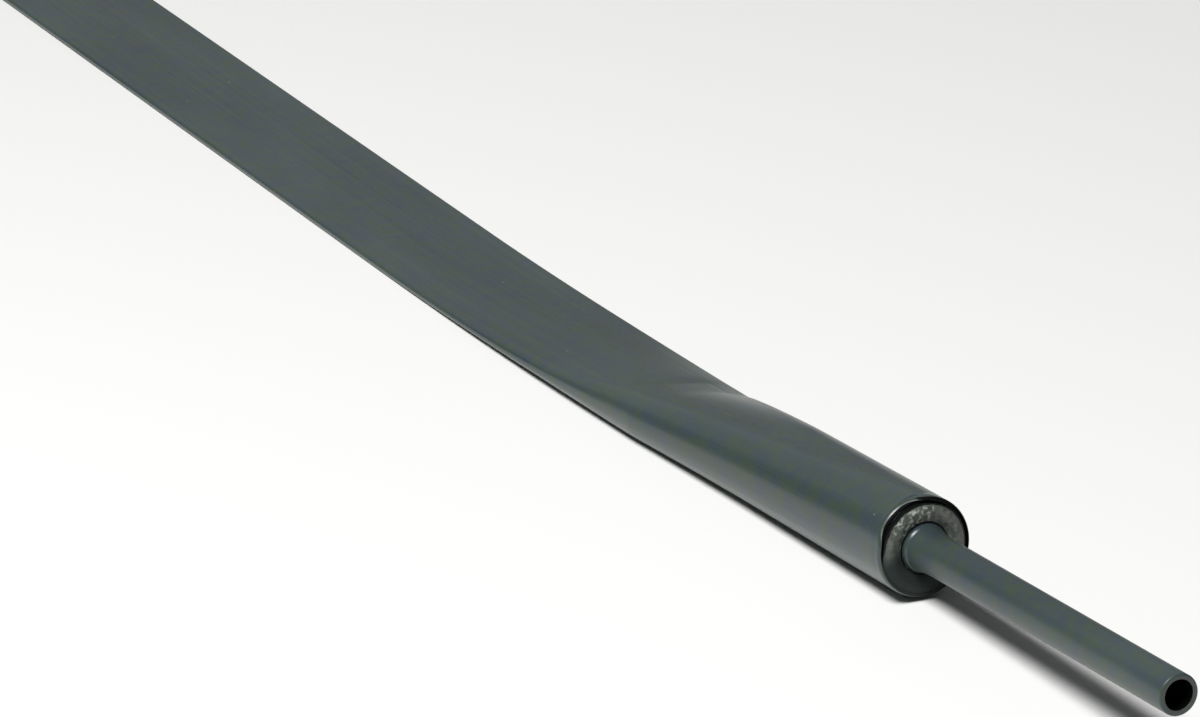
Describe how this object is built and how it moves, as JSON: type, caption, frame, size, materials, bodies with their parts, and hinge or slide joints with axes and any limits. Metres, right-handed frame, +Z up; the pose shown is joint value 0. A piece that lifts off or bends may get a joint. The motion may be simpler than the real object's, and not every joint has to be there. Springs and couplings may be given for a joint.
{
  "type": "heat shrink tube",
  "caption": "Length of black heat shrink tube: flat as supplied, opening to round, with one end already shrunk to a narrow neck behind a shoulder.",
  "frame": {"origin": "on the ground below the middle of the tube's length and width", "axes": "+X along the tube towards the shrunk end, +Y across its flat width, +Z up"},
  "size_m": [1, 0.0202, 0.0137],
  "materials": {
    "black_polyolefin": "satin"
  },
  "bodies": {
    "root": {"tube": "black_polyolefin"}
  },
  "joints": []
}
